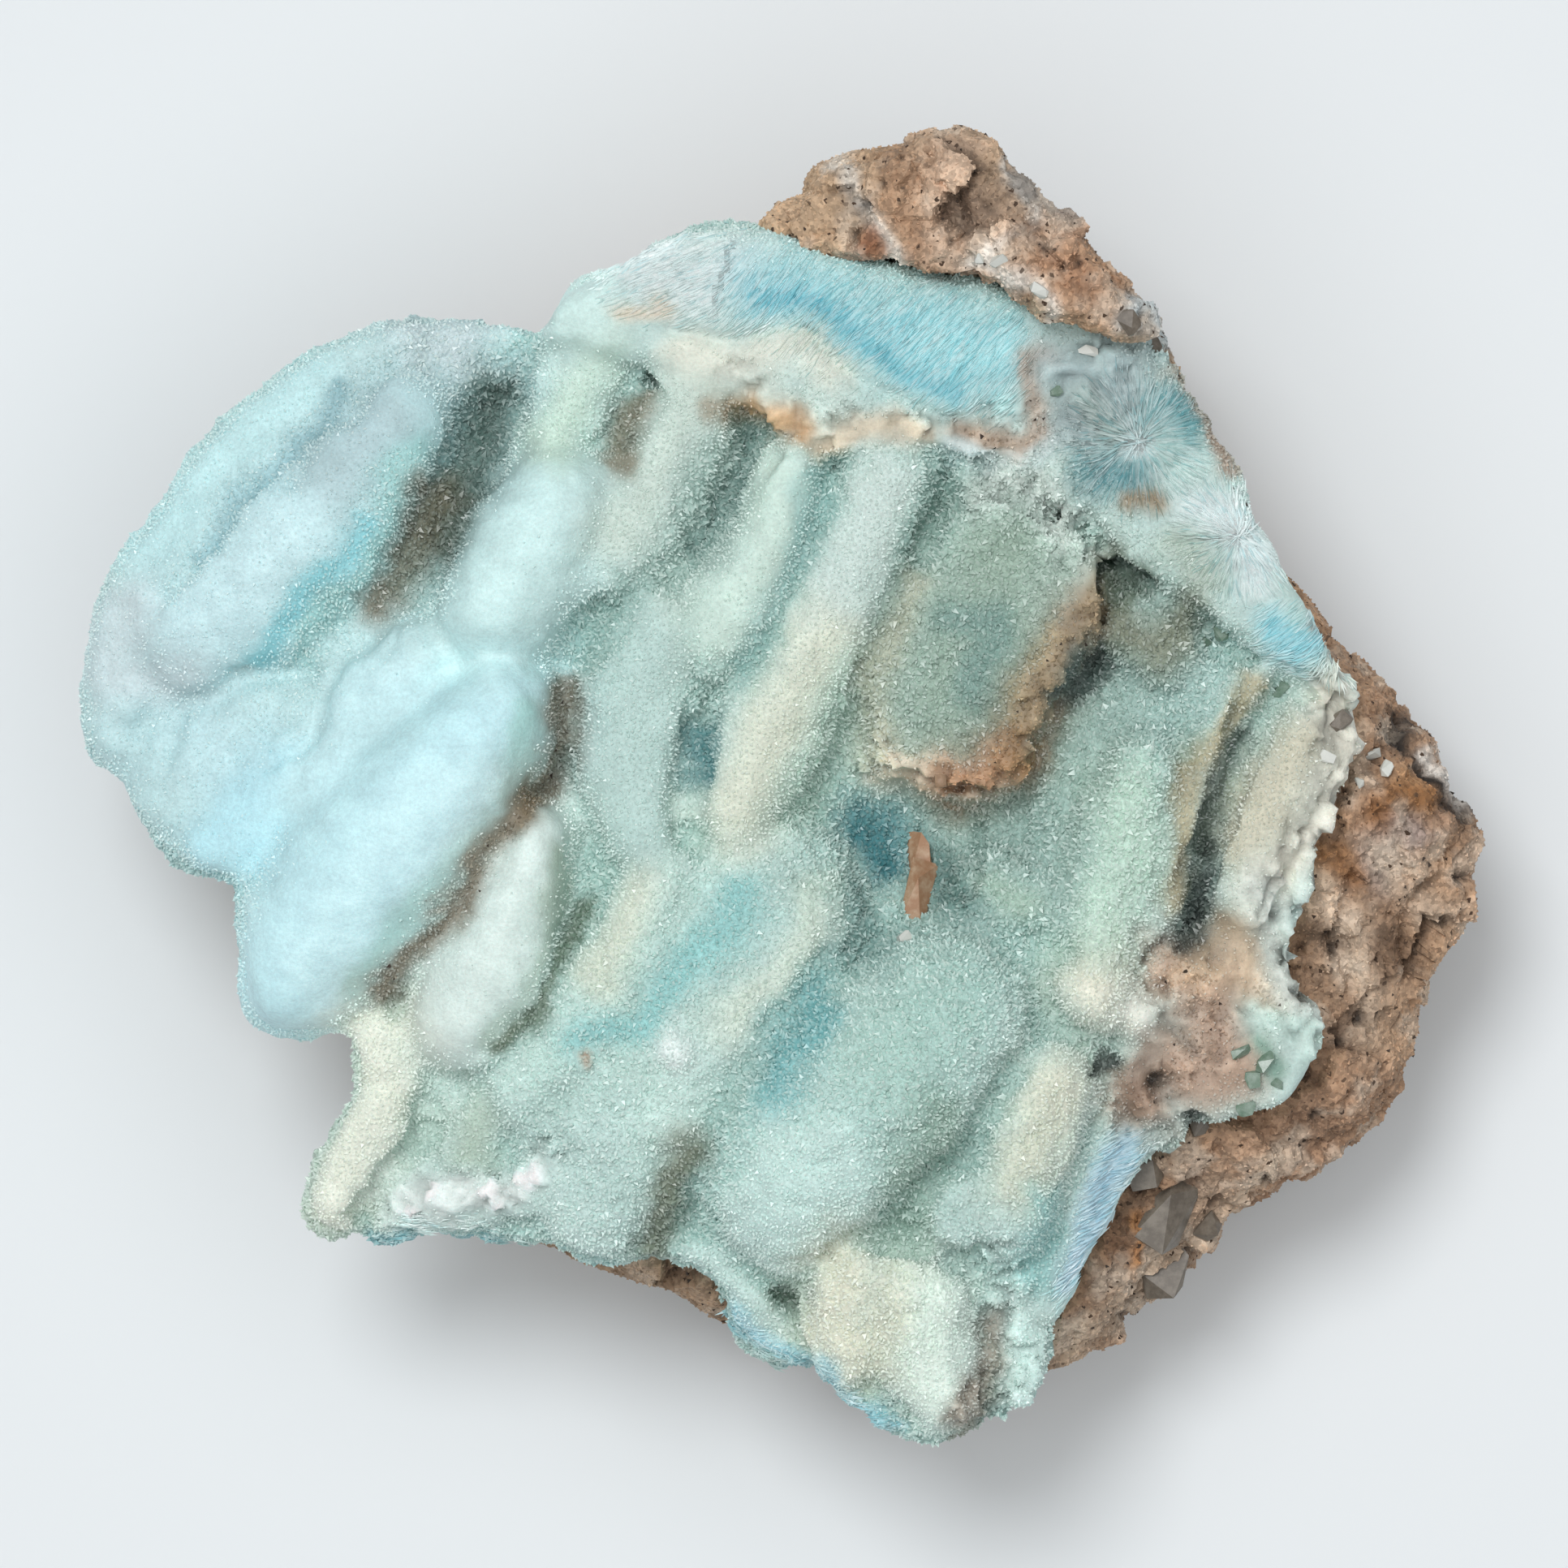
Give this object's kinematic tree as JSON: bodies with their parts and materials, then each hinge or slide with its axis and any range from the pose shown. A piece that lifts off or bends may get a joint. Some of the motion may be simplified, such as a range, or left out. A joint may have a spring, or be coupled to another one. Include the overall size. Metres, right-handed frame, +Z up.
{
  "type": "blue aragonite specimen on its rock",
  "caption": "Hand specimen of blue aragonite: a crust of rounded fingers with a broken fibrous ledge and a jutting plate, grown on a slab of brown rock that rests on a flat face.",
  "frame": {"origin": "under the middle of the specimen, on the flat face that it rests on", "axes": "+Z is up and out of the crust, +X runs to the right and +Y away from a viewer who looks down on the crust with the brown rock at the far right"},
  "size_m": [0.1222, 0.1134, 0.0462],
  "materials": {
    "blue_aragonite": "velvety druse of tiny crystals, pale sky blue on the fingers, greener and darker in the valleys, cream and tan on worn edges, silky and fibrous where broken",
    "brown_rock": "matt, sandy broken rock in light to dark brown, with black specks and pale veins"
  },
  "bodies": {
    "root": {"aragonite_crust": "blue_aragonite", "rock_matrix": "brown_rock"}
  },
  "joints": []
}
